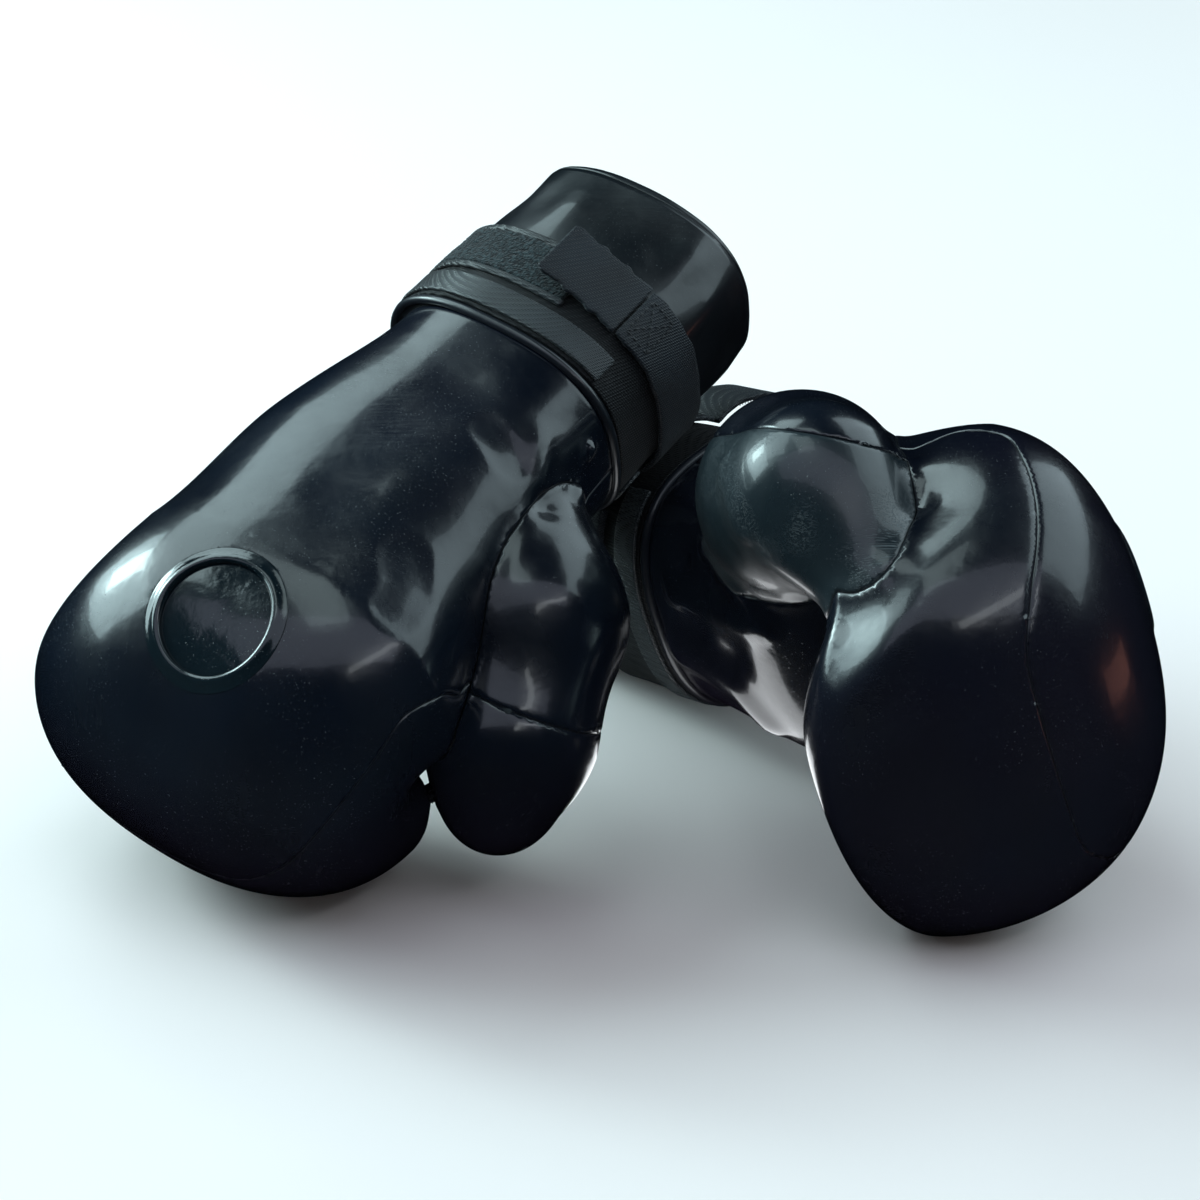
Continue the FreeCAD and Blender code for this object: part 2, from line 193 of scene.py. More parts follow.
def thumb_distance(p, side):
    out = None
    for a, b in zip(THUMBS[side][:-1], THUMBS[side][1:]):
        start, step = np.array(a[:3]), np.array(b[:3]) - np.array(a[:3])
        h = np.clip((p - start) @ step / (step @ step), 0, 1)
        d = np.linalg.norm(p - start - h[..., None] * step, axis=-1) - (a[3] + (b[3] - a[3]) * h)
        out = d if out is None else smooth_min(out, d, KNUCKLE_BLEND)
    return out


# ---- dents, folds and creases in the rubber -----------------------------------------------
# ("dent", centre, radius, depth) goes in, and so does ("dish", points, width, depth), with a
# clearer edge; ("fold", points, width, height) stands out along a line
RELIEF_REACH = 15.0               # it is worked out this near to the surface
RELIEF = {
    "left": [
        ("fold", [(20, 8, -43), (20.8, 33.4, -46.6), (19.9, 52.5, -49.5), (17.4, 72, -50.7)], 7.0, 3.6),
        ("fold", [(-7, -1, -44.5), (-10.2, 18.9, -45.7), (-17.2, 41, -48.4), (-38, 56, -45)], 7.5, 3.8),
        ("fold", [(46, 38, -37), (31.7, 61.3, -47.8), (13.8, 76, -50.7)], 5.0, 4.2),
        ("fold", [(50, 2, -18), (46.1, 29, -31.3), (38.6, 47, -42.7)], 7.0, 2.0),
        ("dent", (6, 22, -46), 8.0, 2.6),
        ("dent", (1, 45, -50), 9.0, 2.6),
        ("dent", (33, 22, -40), 6.0, 2.2),
        ("dent", (60, 150, -74), 15.0, 4.0),
        ("fold", [(80, 176, -48), (66, 180, -66), (44, 168, -88), (30, 152, -98)], 9.0, 2.2),
        ("fold", [(93, 80, -48), (84, 100, -62), (72, 104, -64)], 6.5, 3.2),
    ],
    "right": [
        ("dish", [(29, 41, 40), (42, 45, 35)], 8.5, 0.9),
        ("dish", [(42, 106, 42), (52, 116, 41), (54, 126, 40)], 11.0, 1.0),
        ("dent", (14.8, 33.7, 43), 12.0, 0.9),
        ("dent", (38.4, 86.7, 42), 15.0, 1.3),
        ("dent", (7, 60, 44.6), 14.0, 0.8),
        ("dent", (12.4, 98.6, 47.4), 13.0, 0.9),
        ("fold", [(38, 22, 34), (52, 40, 27), (60, 62, 27), (66, 92, 28)], 6.0, 1.6),
        ("fold", [(51, 8, 18), (58, 21, 12), (57, 33, 8)], 3.2, 2.6),
        ("dent", (56, 46, 20), 6.0, 1.6),
        ("fold", [(92, 60, 0), (97, 84, -8), (99, 108, -20)], 7.0, 1.0),
        ("dent", (-48, 6, 8), 30.0, 5.0),
    ],
}


def line_distance(p, points):
    """Distance to a run of points, and how far along it, from 0 to 1."""
    pts = np.array(points, float)
    lengths = np.linalg.norm(np.diff(pts, axis=0), axis=1)
    total, done = lengths.sum(), 0.0
    best = np.full(p.shape[:-1], 1e9)
    share = np.zeros(p.shape[:-1])
    for a, b, n in zip(pts[:-1], pts[1:], lengths):
        h = np.clip((p - a) @ (b - a) / (n * n), 0, 1)
        d = np.linalg.norm(p - a - h[..., None] * (b - a), axis=-1)
        closer = d < best
        best = np.where(closer, d, best)
        share = np.where(closer, (done + h * n) / total, share)
        done += n
    return best, share


def relief(p, side):
    out = np.zeros(p.shape[:-1])
    for kind, place, size, height in RELIEF[side]:
        if kind == "dent":
            d = np.linalg.norm(p - np.array(place, float), axis=-1)
            out -= height * np.exp(-(d / size) ** 2)
        elif kind == "dish":
            d, _ = line_distance(p, place)
            out -= height * np.clip(1 - (d / size) ** 3, 0, 1) ** 1.4
        else:
            d, share = line_distance(p, place)
            taper = np.clip(4 * share * (1 - share) * 2.2, 0, 1)
            out += height * taper * np.exp(-(d / size) ** 2)
    # a slightly uneven, hand-dipped surface
    x, y, z = p[..., 0], p[..., 1], p[..., 2]
    waves = np.sin(x / 13 + 1.3 * np.sin(y / 21)) * np.sin(y / 17 + 0.9 * np.sin(z / 19))
    out += 0.22 * waves * np.cos(z / 15)
    return out


def badge_distance(p):
    """Distance from the badge's axis, and height above its face."""
    q = p - BADGE_AT
    h = q @ BADGE_UP
    return np.linalg.norm(q - h[..., None] * BADGE_UP, axis=-1), h


def skin_distance(p, side, detail=True):
    m, t = mitt_distance(p), thumb_distance(p, side)
    f = smooth_min(m, t, THUMB_BLEND[side])
    if detail:
        near = np.abs(f) < RELIEF_REACH
        q = p[near]
        r, h = badge_distance(q)
        on_face = h > -POCKET_REACH
        pocket = POCKET * np.clip((BADGE_R - 0.6 - r) / 1.4, 0, 1) * on_face
        away = np.where(on_face, np.clip((r - BADGE_R - 2) / 9, 0, 1), 1)
        f[near] += pocket - relief(q, side) * away
    return f


def gradient(field, p, h=0.25):
    g = np.zeros_like(p)
    for k in range(3):
        e = np.zeros(3)
        e[k] = h
        g[:, k] = (field(p + e) - field(p - e)) / (2 * h)
    return g


def onto(field, p, rounds=3, most=1.5):
    """Moves the points onto the field's surface."""
    for _ in range(rounds):
        g = gradient(field, p)
        move = (field(p) / (np.sum(g * g, axis=1) + 1e-9))[:, None] * g
        n = np.linalg.norm(move, axis=1)[:, None]
        p = p - move * np.minimum(1, most / (n + 1e-9))
    return p


# ---- a mesh over a field ------------------------------------------------------------------
def surface_net(field, low, high, step):
    """A closed quad mesh where the field is zero."""
    lines = [np.arange(a, b + step, step) for a, b in zip(low, high)]
    grid = np.stack(np.meshgrid(*lines, indexing="ij"), -1)
    shape = grid.shape[:3]
    F = np.concatenate([field(layer.reshape(-1, 3)) for layer in np.array_split(grid, 12)]).reshape(shape)
    inside = F < 0
    n = [s - 1 for s in shape]

    def corner(a, i, j, k):
        return a[i:n[0] + i, j:n[1] + j, k:n[2] + k]

    total = sum(corner(inside, i, j, k).astype(int) for i in (0, 1) for j in (0, 1) for k in (0, 1))
    mixed = (total > 0) & (total < 8)
    where = np.zeros(mixed.shape + (3,))
    count = np.zeros(mixed.shape)
    for axis in range(3):
        for u in (0, 1):
            for v in (0, 1):
                c = [u, v]
                c.insert(axis, 0)
                c2 = list(c)
                c2[axis] = 1
                a, b = corner(F, *c), corner(F, *c2)
                cross = (a < 0) != (b < 0)
                t = np.where(cross, a / np.where(cross, a - b, 1), 0)
                for k in range(3):
                    where[..., k] += np.where(cross, c[k] + (t if k == axis else 0), 0)
                count += cross
    ids = np.full(mixed.shape, -1)
    ids[mixed] = np.arange(mixed.sum())
    base = np.argwhere(mixed)
    V = np.array([l[0] for l in lines]) + step * (base + where[mixed] / count[mixed][:, None])
    quads = []
    for axis in range(3):
        a = np.moveaxis(inside, axis, 0)
        cross = a[:-1] != a[1:]
        i, j, k = np.nonzero(cross[:, 1:-1, 1:-1])
        j, k = j + 1, k + 1
        idm = np.moveaxis(ids, axis, 0)
        q = np.stack([idm[i, j - 1, k - 1], idm[i, j, k - 1], idm[i, j, k], idm[i, j - 1, k]], 1)
        flip = a[i, j, k] == (axis != 1)
        q[~flip] = q[~flip][:, ::-1]
        quads.append(q)
    Q = np.concatenate(quads)
    return V, Q[(Q >= 0).all(1)]


def even_out(V, Q, field, rounds=2):
    """Evens the mesh by moving each point towards its neighbours, along the surface."""
    for _ in range(rounds):
        total, count = np.zeros_like(V), np.zeros(len(V))
        for a, b in ((0, 1), (1, 2), (2, 3), (3, 0)):
            for s, t in ((a, b), (b, a)):
                np.add.at(total, Q[:, s], V[Q[:, t]])
                np.add.at(count, Q[:, s], 1)
        V = onto(field, V + 0.6 * (total / count[:, None] - V), 1)
    return onto(field, V, 1)


def cut(V, T, share, field, step):
    """Cuts the triangles where share changes sign. Returns the mesh, and which triangles are above."""
    def settle(p):
        for _ in range(3):
            g = gradient(share, p)
            n = gradient(field, p)
            n /= np.linalg.norm(n, axis=1)[:, None] + 1e-9
            g -= np.sum(g * n, axis=1)[:, None] * n
            move = (share(p) / (np.sum(g * g, axis=1) + 1e-9))[:, None] * g
            m = np.linalg.norm(move, axis=1)[:, None]
            p = onto(field, p - move * np.minimum(1, 1.5 / (m + 1e-9)), 1)
        return p

    V = V.copy()
    used = np.unique(T)
    h = np.zeros(len(V))
    h[used] = share(V[used])
    slope = np.linalg.norm(gradient(share, V[used]), axis=1) + 1e-9
    close = used[np.abs(h[used]) / slope < 0.33 * step]
    V[close] = settle(V[close])
    h[close] = 0
    sign = np.sign(h).astype(int)
    keep, crossing = [], []
    for t in range(len(T)):
        s = sign[T[t]]
        (crossing if s.min() < 0 < s.max() else keep).append(t)
    tris = [T[keep]]
    above = [sign[T[keep]].sum(1) > 0]
    new_points, made, extra, extra_up = [], {}, [], []

    def between(a, b):
        key = (min(a, b), max(a, b))
        if key not in made:
            made[key] = len(V) + len(new_points)
            f = h[a] / (h[a] - h[b])
            new_points.append(V[a] + (V[b] - V[a]) * f)
        return made[key]

    for t in crossing:
        tri = [int(v) for v in T[t]]
        for want in (1, -1):
            poly = []
            for a, b in zip(tri, tri[1:] + tri[:1]):
                if sign[a] * want >= 0:
                    poly.append(a)
                if sign[a] * sign[b] < 0:
                    poly.append(between(a, b))
            for k in range(1, len(poly) - 1):
                extra.append((poly[0], poly[k], poly[k + 1]))
                extra_up.append(want > 0)
    if new_points:
        V = np.concatenate([V, settle(np.array(new_points))])
        tris.append(np.array(extra))
        above.append(np.array(extra_up))
    return V, np.concatenate(tris), np.concatenate(above)


def part_of(V, T):
    used, T = np.unique(T, return_inverse=True)
    return V[used], T.reshape(-1, 3)


def rim_edges(T):
    """The open edges, in the direction of their triangles."""
    e = np.concatenate([T[:, [0, 1]], T[:, [1, 2]], T[:, [2, 0]]])
    code = e[:, 0].astype(np.int64) * (T.max() + 1) + e[:, 1]
    back = e[:, 1].astype(np.int64) * (T.max() + 1) + e[:, 0]
    return e[~np.isin(code, back)]


def point_normals(V, T):
    n = np.cross(V[T[:, 1]] - V[T[:, 0]], V[T[:, 2]] - V[T[:, 0]])
    out = np.zeros_like(V)
    for k in range(3):
        np.add.at(out, T[:, k], n)
    return out / (np.linalg.norm(out, axis=1)[:, None] + 1e-12)


def lipped_shell(V, T, thick, lip=0.35, gap=0.12):
    """A thin closed skin whose open edges turn in, as at a seam, and each point's distance to an edge."""
    N = point_normals(V, T)
    edges = rim_edges(T)
    rim = np.unique(edges)
    # the way back into the piece, in the surface
    back = np.zeros_like(V)
    d = V[edges[:, 1]] - V[edges[:, 0]]
    side = np.cross(N[edges[:, 0]], d)
    side /= np.linalg.norm(side, axis=1)[:, None] + 1e-9
    np.add.at(back, edges[:, 0], side)
    np.add.at(back, edges[:, 1], side)
    back /= np.linalg.norm(back, axis=1)[:, None] + 1e-9

    tree = KDTree(len(rim))
    for k, r in enumerate(rim):
        tree.insert(Vector(V[r]), k)
    tree.balance()
    far = np.array([tree.find(Vector(p))[2] for p in V])

    outer = V - N * (lip * np.exp(-(far / 0.9) ** 2))[:, None]
    outer[rim] = V[rim] + back[rim] * gap - N[rim] * lip
    inner = V - N * thick
    inner[rim] = V[rim] + back[rim] * gap - N[rim] * thick
    middle = V[rim] + back[rim] * gap * 0.7 - N[rim] * (lip + 0.5)
    n = len(V)
    at = np.full(n, -1)
    at[rim] = np.arange(len(rim)) + 2 * n
    a, b = edges[:, 0], edges[:, 1]
    walls = np.concatenate([np.stack([b, a, at[a]], 1), np.stack([b, at[a], at[b]], 1),
                            np.stack([at[b], at[a], a + n], 1), np.stack([at[b], a + n, b + n], 1)])
    points = np.concatenate([outer, inner, middle])
    faces = np.concatenate([T, T[:, ::-1] + n, walls])
    return points, faces, np.concatenate([far, far, np.zeros(len(rim))])


# ---- objects ------------------------------------------------------------------------------
REST_SOFT = 0.002                 # how far above the floor the flattening begins, in metres


def link(obj):
    bpy.context.scene.collection.objects.link(obj)


def body_of(side, name):
    if name in ("strap", "box_stitch") and side == "right":
        return side + "_strap_body"
    if name in ("strap_tab", "hook_patch"):
        return side + "_tab_body"
    return side + "_glove"


def add_piece(side, name, points, faces, material, slot, edge=None):
    """Makes a piece that stands for the CAD node of the same name, with its faces as rows or a list."""
    if side == "right":
        faces = [f[::-1] for f in faces] if isinstance(faces, list) else np.asarray(faces)[:, ::-1]
    room = to_room(side, points)
    # the underside flattens softly where the mitt rests on the floor
    low = room[:, 2] < REST_SOFT
    room[low, 2] = REST_SOFT * np.exp(room[low, 2] / REST_SOFT - 1)
    mesh = bpy.data.meshes.new(side + "_" + name)
    mesh.from_pydata(room.tolist(), [], faces.tolist() if hasattr(faces, "tolist") else faces)
    mesh.validate()
    mesh.shade_smooth()
    if edge is not None and len(mesh.vertices) == len(edge):
        layer = mesh.attributes.new("edge", "FLOAT", "POINT")
        layer.data.foreach_set("value", np.asarray(edge, np.float32))
    obj = bpy.data.objects.new("look_" + side + "_" + name, mesh)
    link(obj)
    mesh.materials.append(material)
    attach(obj, body_of(side, name))
    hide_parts(side + "_" + name)
    return obj


# ---- sleeve, bands and straps -------------------------------------------------------------
# distance along the sleeve: half width, back, palm
MOUTH = -89.0
SLEEVE = np.array([(MOUTH, 49.4, 38.4, 41.6), (-45, 50.4, 40.5, 43.1), (0, 51.6, 42.4, 44.5)], float)
SLEEVE_N = 2.61
BORE_R, BORE_Z = 36.0, -1.4


def sleeve_point(y, angle, out):
    """Points at a height above the sleeve, at an angle in degrees from the thumb side towards the back."""
    y, angle, out = np.broadcast_arrays(*(np.asarray(v, float) for v in (y, angle, out)))
    a, top, bottom = (np.interp(y, SLEEVE[:, 0], SLEEVE[:, k]) for k in (1, 2, 3))
    t = np.radians(angle)
    c, s = np.cos(t), np.sin(t)
    h = np.where(s > 0, top, bottom)
    n = SLEEVE_N
    x = a * np.sign(c) * np.abs(c) ** (2 / n)
    z = h * np.sign(s) * np.abs(s) ** (2 / n)
    nx = np.sign(x) * (np.abs(x) / a) ** (n - 1) / a
    nz = np.sign(z) * (np.abs(z) / h) ** (n - 1) / h
    m = np.hypot(nx, nz) + 1e-12
    return np.stack([x + nx / m * out, y, z + nz / m * out], -1)


def sweep(rows, closed_along, closed_across=True):
    """Faces for rows of points (rows, points per row, 3), with caps where a row ends the sweep."""
    n, m = rows.shape[:2]
    faces = []
    for i in range(n if closed_along else n - 1):
        a, b = i * m, ((i + 1) % n) * m
        for j in range(m if closed_across else m - 1):
            k = (j + 1) % m
            faces.append([a + j, a + k, b + k, b + j])
    if not closed_along:
        faces.append(list(range(m))[::-1])
        faces.append([(n - 1) * m + j for j in range(m)])
    return rows.reshape(-1, 3), faces


def rounded(w0, w1, h0, h1, r, steps=4, across=1):
    """A rounded rectangle's outline, as (along, height) pairs, with points along its long sides."""
    pts = []
    corners = ((w1 - r, h1 - r, 0), (w0 + r, h1 - r, 90), (w0 + r, h0 + r, 180), (w1 - r, h0 + r, 270))
    for cx, cy, start in corners:
        for k in range(steps + 1):
            a = math.radians(start + 90 * k / steps)
            pts.append((cx + r * math.cos(a), cy + r * math.sin(a)))
        if start in (0, 180) and across > 1:
            (x0, y0), (x1, y1) = pts[-1], ((w0 + r, h1) if start == 0 else (w1 - r, h0))
            pts += [(x0 + (x1 - x0) * k / across, y0 + (y1 - y0) * k / across) for k in range(1, across)]
    return np.array(pts)


def band(y0, y1, low, high, angles, r=0.5, wave=0.0, across=10, seed=0.0):
    """A band round the sleeve between two heights. Its surface may be a little uneven."""
    outline = rounded(y0, y1, low, high, r, 3, across)
    t = np.asarray(angles, float)[:, None]
    y = outline[None, :, 0] + 0 * t
    out = outline[None, :, 1] + 0 * t
    top = (out > (low + high) / 2)
    uneven = np.sin(np.radians(t) * 7 + y / 5 + seed) * np.sin(np.radians(t) * 3 - y / 9 + 2 * seed)
    out = out + wave * uneven * top
    y = y + 0.5 * wave * np.sin(np.radians(t) * 9 + seed)
    return sleeve_point(y, t, out)


ROUND = np.arange(0, 360, 1.5)


# ---- materials ----------------------------------------------------------------------------
def tree(name):
    """A new material, its shader, its coordinates in the object, and a maker of nodes: _name sets a
    property of the node, i0, i1… an input by its number, and any other name an input by its name."""
    m = bpy.data.materials.new(name)
    m.use_nodes = True
    nodes, links = m.node_tree.nodes, m.node_tree.links
    shader = nodes["Principled BSDF"]
    where = nodes.new("ShaderNodeTexCoord").outputs["Object"]

    def node(kind, **values):
        n = nodes.new("ShaderNode" + kind)
        for key, v in values.items():
            if key.startswith("_"):
                setattr(n, key[1:], v)
            else:
                by_number = key[0] == "i" and key[1:].isdigit()
                socket = n.inputs[int(key[1:]) if by_number else key.replace("_", " ")]
                if isinstance(v, bpy.types.NodeSocket):
                    links.new(v, socket)
                else:
                    socket.default_value = v
        return n

    return m, shader, where, node, links


def noise(node, where, scale, detail=2.0, rough=0.5, stretch=None, turn=None):
    if stretch is not None:
        where = node("Mapping", Vector=where, Scale=stretch, Rotation=turn or (0, 0, 0)).outputs[0]
    return node("TexNoise", Vector=where, Scale=scale, Detail=detail, Roughness=rough).outputs["Fac"]


def level(node, value, low, high, out_low=0.0, out_high=1.0):
    n = node("MapRange", Value=value, From_Min=low, From_Max=high, To_Min=out_low, To_Max=out_high)
    return n.outputs[0]


def math_node(node, op, a, b=None):
    n = node("Math", _operation=op, i0=a)
    if b is not None:
        if isinstance(b, bpy.types.NodeSocket):
            n.id_data.links.new(b, n.inputs[1])
        else:
            n.inputs[1].default_value = b
    return n.outputs[0]


def times(node, a, b):
    return math_node(node, "MULTIPLY", a, b)


def mix(node, share, a, b):
    n = node("Mix", _data_type="RGBA", i0=share)
    for k, v in ((6, a), (7, b)):
        if isinstance(v, bpy.types.NodeSocket):
            n.id_data.links.new(v, n.inputs[k])
        else:
            n.inputs[k].default_value = (*v, 1)
    return n.outputs[2]


def bump(node, height, distance, strength=1.0, normal=None):
    n = node("Bump", Height=height, Distance=distance, Strength=strength)
    if normal is not None:
        n.id_data.links.new(normal, n.inputs["Normal"])
    return n.outputs[0]


def rubber(name, dark, light, rough=(0.15, 0.32), dust=0.6, scratches=0.12, seams=True, peel=0.00012):
    """Glossy dipped rubber with dust, fine scratches and dull patches."""
    m, shader, where, node, links = tree(name)
    cloud = noise(node, where, 9.0, 3.0, 0.55)
    smear = noise(node, where, 30.0, 4.0, 0.6, (1, 1, 0.35), (0.4, 0.2, 0.7))
    colour = mix(node, level(node, cloud, 0.35, 0.68), dark, light)
    # here and there the black turns purplish at random, and the lower parts turn purplish as a painted
    # reflection of the surroundings
    purple_patches_and_painted_reflection = level(node, noise(node, where, 5.0, 2.0, 0.5), 0.5, 0.7)
    # painted reflection: the lower the surface, below 85 mm and fully at 30 mm, the more purplish its
    # colour
    height = node("SeparateXYZ", Vector=where).outputs[2]
    purple_patches_and_painted_reflection = math_node(node, "MAXIMUM", purple_patches_and_painted_reflection, level(node, height, 0.085, 0.030, 0.0, 1.0))
    # the purple stands for random patches of tone and for the painted reflection at the bottom
    colour = mix(node, times(node, purple_patches_and_painted_reflection, 0.6), colour, (0.0105, 0.0062, 0.0125))
    # hairline scratches in three directions, only in worn patches
    marks = None
    for turn, scale in (((0.3, 0.5, 0.2), 55.0), ((1.2, 0.1, 1.1), 70.0), ((0.1, 1.3, 2.2), 60.0)):
        s = noise(node, where, scale, 1.0, 0.4, (1, 30, 30), turn)
        s = level(node, s, 0.63, 0.67)
        marks = s if marks is None else math_node(node, "MAXIMUM", marks, s)
    patch = level(node, noise(node, where, 21.0, 2.0), 0.48, 0.66)
    marks = times(node, times(node, marks, patch), scratches)
    specks = level(node, noise(node, where, 1700.0, 1.0, 0.4), 0.72, 0.78)
    where_dust = level(node, noise(node, where, 24.0, 3.0, 0.6), 0.45, 0.70)
    specks = times(node, times(node, specks, where_dust), dust)
    colour = mix(node, specks, colour, (0.16, 0.19, 0.20))
    colour = mix(node, times(node, marks, 0.10), colour, (0.20, 0.26, 0.28))
    dull = level(node, smear, 0.30, 0.75, rough[0], rough[1])
    if seams:
        edge = node("Attribute", _attribute_name="edge").outputs["Fac"]
        near = level(node, edge, 0.1, 0.7, 1.0, 0.0)
        dull = math_node(node, "ADD", dull, times(node, near, 0.12))
        colour = mix(node, times(node, near, 0.12), colour, (0.03, 0.036, 0.04))
    dull = math_node(node, "ADD", dull, times(node, marks, 0.15))
    dull = math_node(node, "ADD", dull, times(node, specks, 0.4))
    links.new(colour, shader.inputs["Base Color"])
    links.new(dull, shader.inputs["Roughness"])
    n1 = bump(node, noise(node, where, 260.0, 2.0, 0.5), peel * 0.6)
    n2 = bump(node, noise(node, where, 45.0, 2.0, 0.5), peel * 2.6, 1.0, n1)
    n3 = bump(node, times(node, marks, -1.0), 0.00005, 1.0, n2)
    links.new(bump(node, specks, 0.00012, 1.0, n3), shader.inputs["Normal"])
    shader.inputs["IOR"].default_value = 1.53
    shader.inputs["Coat Weight"].default_value = 0.4
    shader.inputs["Coat Roughness"].default_value = 0.075
    return m


def webbing(name, dark, light, pitch=1900.0, rough=0.6, sheen=0.25, gloss=0.3):
    """A tightly woven flat band with threads across and along."""
    m, shader, where, node, links = tree(name)
    across = node("TexWave", Vector=where, Scale=pitch / 6.28, Distortion=0.6, Detail=1.0,
                  _bands_direction="DIAGONAL").outputs["Fac"]
    along = node("TexWave", Vector=where, Scale=pitch / 9.0, Distortion=0.8, Detail=1.0,
                 _bands_direction="Z").outputs["Fac"]
    weave = times(node, across, along)
    cloud = noise(node, where, 60.0, 3.0)
    fuzz = noise(node, where, 2600.0, 1.0)
    colour = mix(node, level(node, cloud, 0.3, 0.7), dark, light)
    stray = times(node, level(node, fuzz, 0.62, 0.8), 0.5)
    colour = mix(node, stray, colour, tuple(min(1, 3.2 * c) for c in light))
    links.new(colour, shader.inputs["Base Color"])
    links.new(level(node, weave, 0.0, 1.0, rough + 0.12, rough - 0.12), shader.inputs["Roughness"])
    n1 = bump(node, weave, 0.00022)
    links.new(bump(node, fuzz, 0.0001, 1.0, n1), shader.inputs["Normal"])
    shader.inputs["Sheen Weight"].default_value = sheen
    shader.inputs["Sheen Roughness"].default_value = 0.5
    shader.inputs["Specular IOR Level"].default_value = gloss
    return m


def nap(name):
    """A dense pile of tiny loops: grain in colour and height."""
    m, shader, where, node, links = tree(name)
    grain = noise(node, where, 620.0, 2.0, 0.6)
    loops = node("TexVoronoi", Vector=where, Scale=1100.0).outputs["Distance"]
    cloud = noise(node, where, 70.0, 3.0)
    colour = mix(node, level(node, grain, 0.42, 0.62), (0.0018, 0.0045, 0.0065), (0.030, 0.050, 0.056))
    clouds = times(node, level(node, cloud, 0.35, 0.7), 0.5)
    colour = mix(node, clouds, colour, (0.006, 0.012, 0.015))
    links.new(colour, shader.inputs["Base Color"])
    shader.inputs["Roughness"].default_value = 0.85
    n1 = bump(node, grain, 0.0009)
    links.new(bump(node, loops, 0.0004, 1.0, n1), shader.inputs["Normal"])
    shader.inputs["Sheen Weight"].default_value = 0.15
    shader.inputs["Specular IOR Level"].default_value = 0.15
    return m


def foam(name):
    m, shader, where, node, links = tree(name)
    cells = node("TexVoronoi", Vector=where, Scale=700.0).outputs["Distance"]
    cloud = level(node, noise(node, where, 40.0), 0.3, 0.7)
    colour = mix(node, cloud, (0.16, 0.16, 0.15), (0.24, 0.23, 0.21))
    links.new(colour, shader.inputs["Base Color"])
    links.new(level(node, cells, 0, 0.6, 0.95, 0.75), shader.inputs["Roughness"])
    links.new(bump(node, cells, 0.0006), shader.inputs["Normal"])
    return m


MATS = {
    "rubber": rubber("rubber_skin", (0.0024, 0.0044, 0.0090), (0.0072, 0.0120, 0.0205)),
    "egg": rubber("rubber_worn", (0.007, 0.014, 0.019), (0.024, 0.040, 0.048), (0.20, 0.46), 1.6, 3.0),
    "sleeve": rubber("rubber_sleeve", (0.0035, 0.0058, 0.0085), (0.0095, 0.0145, 0.0190),
                     (0.26, 0.42), 0.4, 0.2, False),
    "badge": rubber("rubber_badge", (0.0030, 0.0075, 0.0110), (0.010, 0.020, 0.026),
                    (0.08, 0.22), 1.0, 0.6, False, 0.00016),
    "foam": foam("foam"),
    "lining": webbing("lining_cloth", (0.012, 0.013, 0.015), (0.025, 0.027, 0.030), 1500.0, 0.8, 0.3, 0.15),
    "band": webbing("band_cloth", (0.0012, 0.0020, 0.0032), (0.0035, 0.0052, 0.0070),
                    2400.0, 0.45, 0.05, 0.25),
    "satin": webbing("satin_binding", (0.0035, 0.0075, 0.0105), (0.0100, 0.0180, 0.0230),
                     3200.0, 0.30, 0.10, 0.7),
    "strap": webbing("strap_webbing", (0.0018, 0.0044, 0.0080), (0.0062, 0.0120, 0.0185),
                     2800.0, 0.36, 0.06, 0.4),
    "pile": nap("loop_pile"),
    "hooks": webbing("hook_tape", (0.004, 0.005, 0.006), (0.010, 0.011, 0.012), 1700.0, 0.5, 0.1, 0.4),
    "thread": webbing("thread", (0.006, 0.010, 0.013), (0.016, 0.023, 0.028), 4200.0, 0.5, 0.2, 0.4),
}


# ---- the mitt's panels --------------------------------------------------------------------
STEP = 1.7     # the mesh's spacing
SKIN_START = 0.4                      # where the skin ends behind the wrist's welt


def cap_share(side):
    at, way = (np.array(v, float) for v in CAP_SEAM[side])
    way = way / np.linalg.norm(way)
    return lambda p: (p - at) @ way


def seam_share(p):
    return p[..., 2] - seam_height(p[..., 1])[..., 0]


def build_skin(side):
    field = lambda p: skin_distance(p, side)
    V, Q = surface_net(field, (-94, -7, -112), (118, 222, 58), STEP)
    V = even_out(onto(field, V), Q, field)
    T = np.concatenate([Q[:, [0, 1, 2]], Q[:, [0, 2, 3]]])
    V, T, front = cut(V, T, lambda p: p[..., 1] - SKIN_START, field, STEP)
    # the thumb is where its form, not the hand's, makes the surface
    V, T, on_thumb = cut(V, T[front], lambda p: mitt_distance(p) - thumb_distance(p, side), field, STEP)
    Vm, Tm, back = cut(V, T[~on_thumb], seam_share, field, STEP)
    Vt, Tt, tip = cut(V, T[on_thumb], cap_share(side), field, STEP)
    for name, points, tris in (("back_panel", Vm, Tm[back]), ("palm_panel", Vm, Tm[~back]),
                               ("thumb_shell", Vt, Tt[~tip]), ("thumb_tip_cap", Vt, Tt[tip])):
        P, F, edge = lipped_shell(*part_of(points, tris), SKIN)
        # nothing stands out of the surface where a sharp edge turned in
        proud = field(P) > 0.2
        if proud.any():
            P[proud] = onto(field, P[proud], 4, 4.0)
        material = MATS["egg"] if name == "thumb_tip_cap" and side == "left" else MATS["rubber"]
        add_piece(side, name, P, F, material, "rubber", edge)


# ---- badge --------------------------------------------------------------------------------
def badge_points(r, turn, height):
    """Points at a radius and height on the knuckles' curve, seen along the badge's axis."""
    u = np.array([1.0, 0, 0])
    v = np.cross(BADGE_UP, u)
    p = BADGE_AT + (r * np.cos(turn))[..., None] * u + (r * np.sin(turn))[..., None] * v + 8 * BADGE_UP
    shape = p.shape
    p = p.reshape(-1, 3)
    for _ in range(12):
        p = p - mitt_distance(p)[:, None] * BADGE_UP
    return p.reshape(shape) + height[..., None] * BADGE_UP


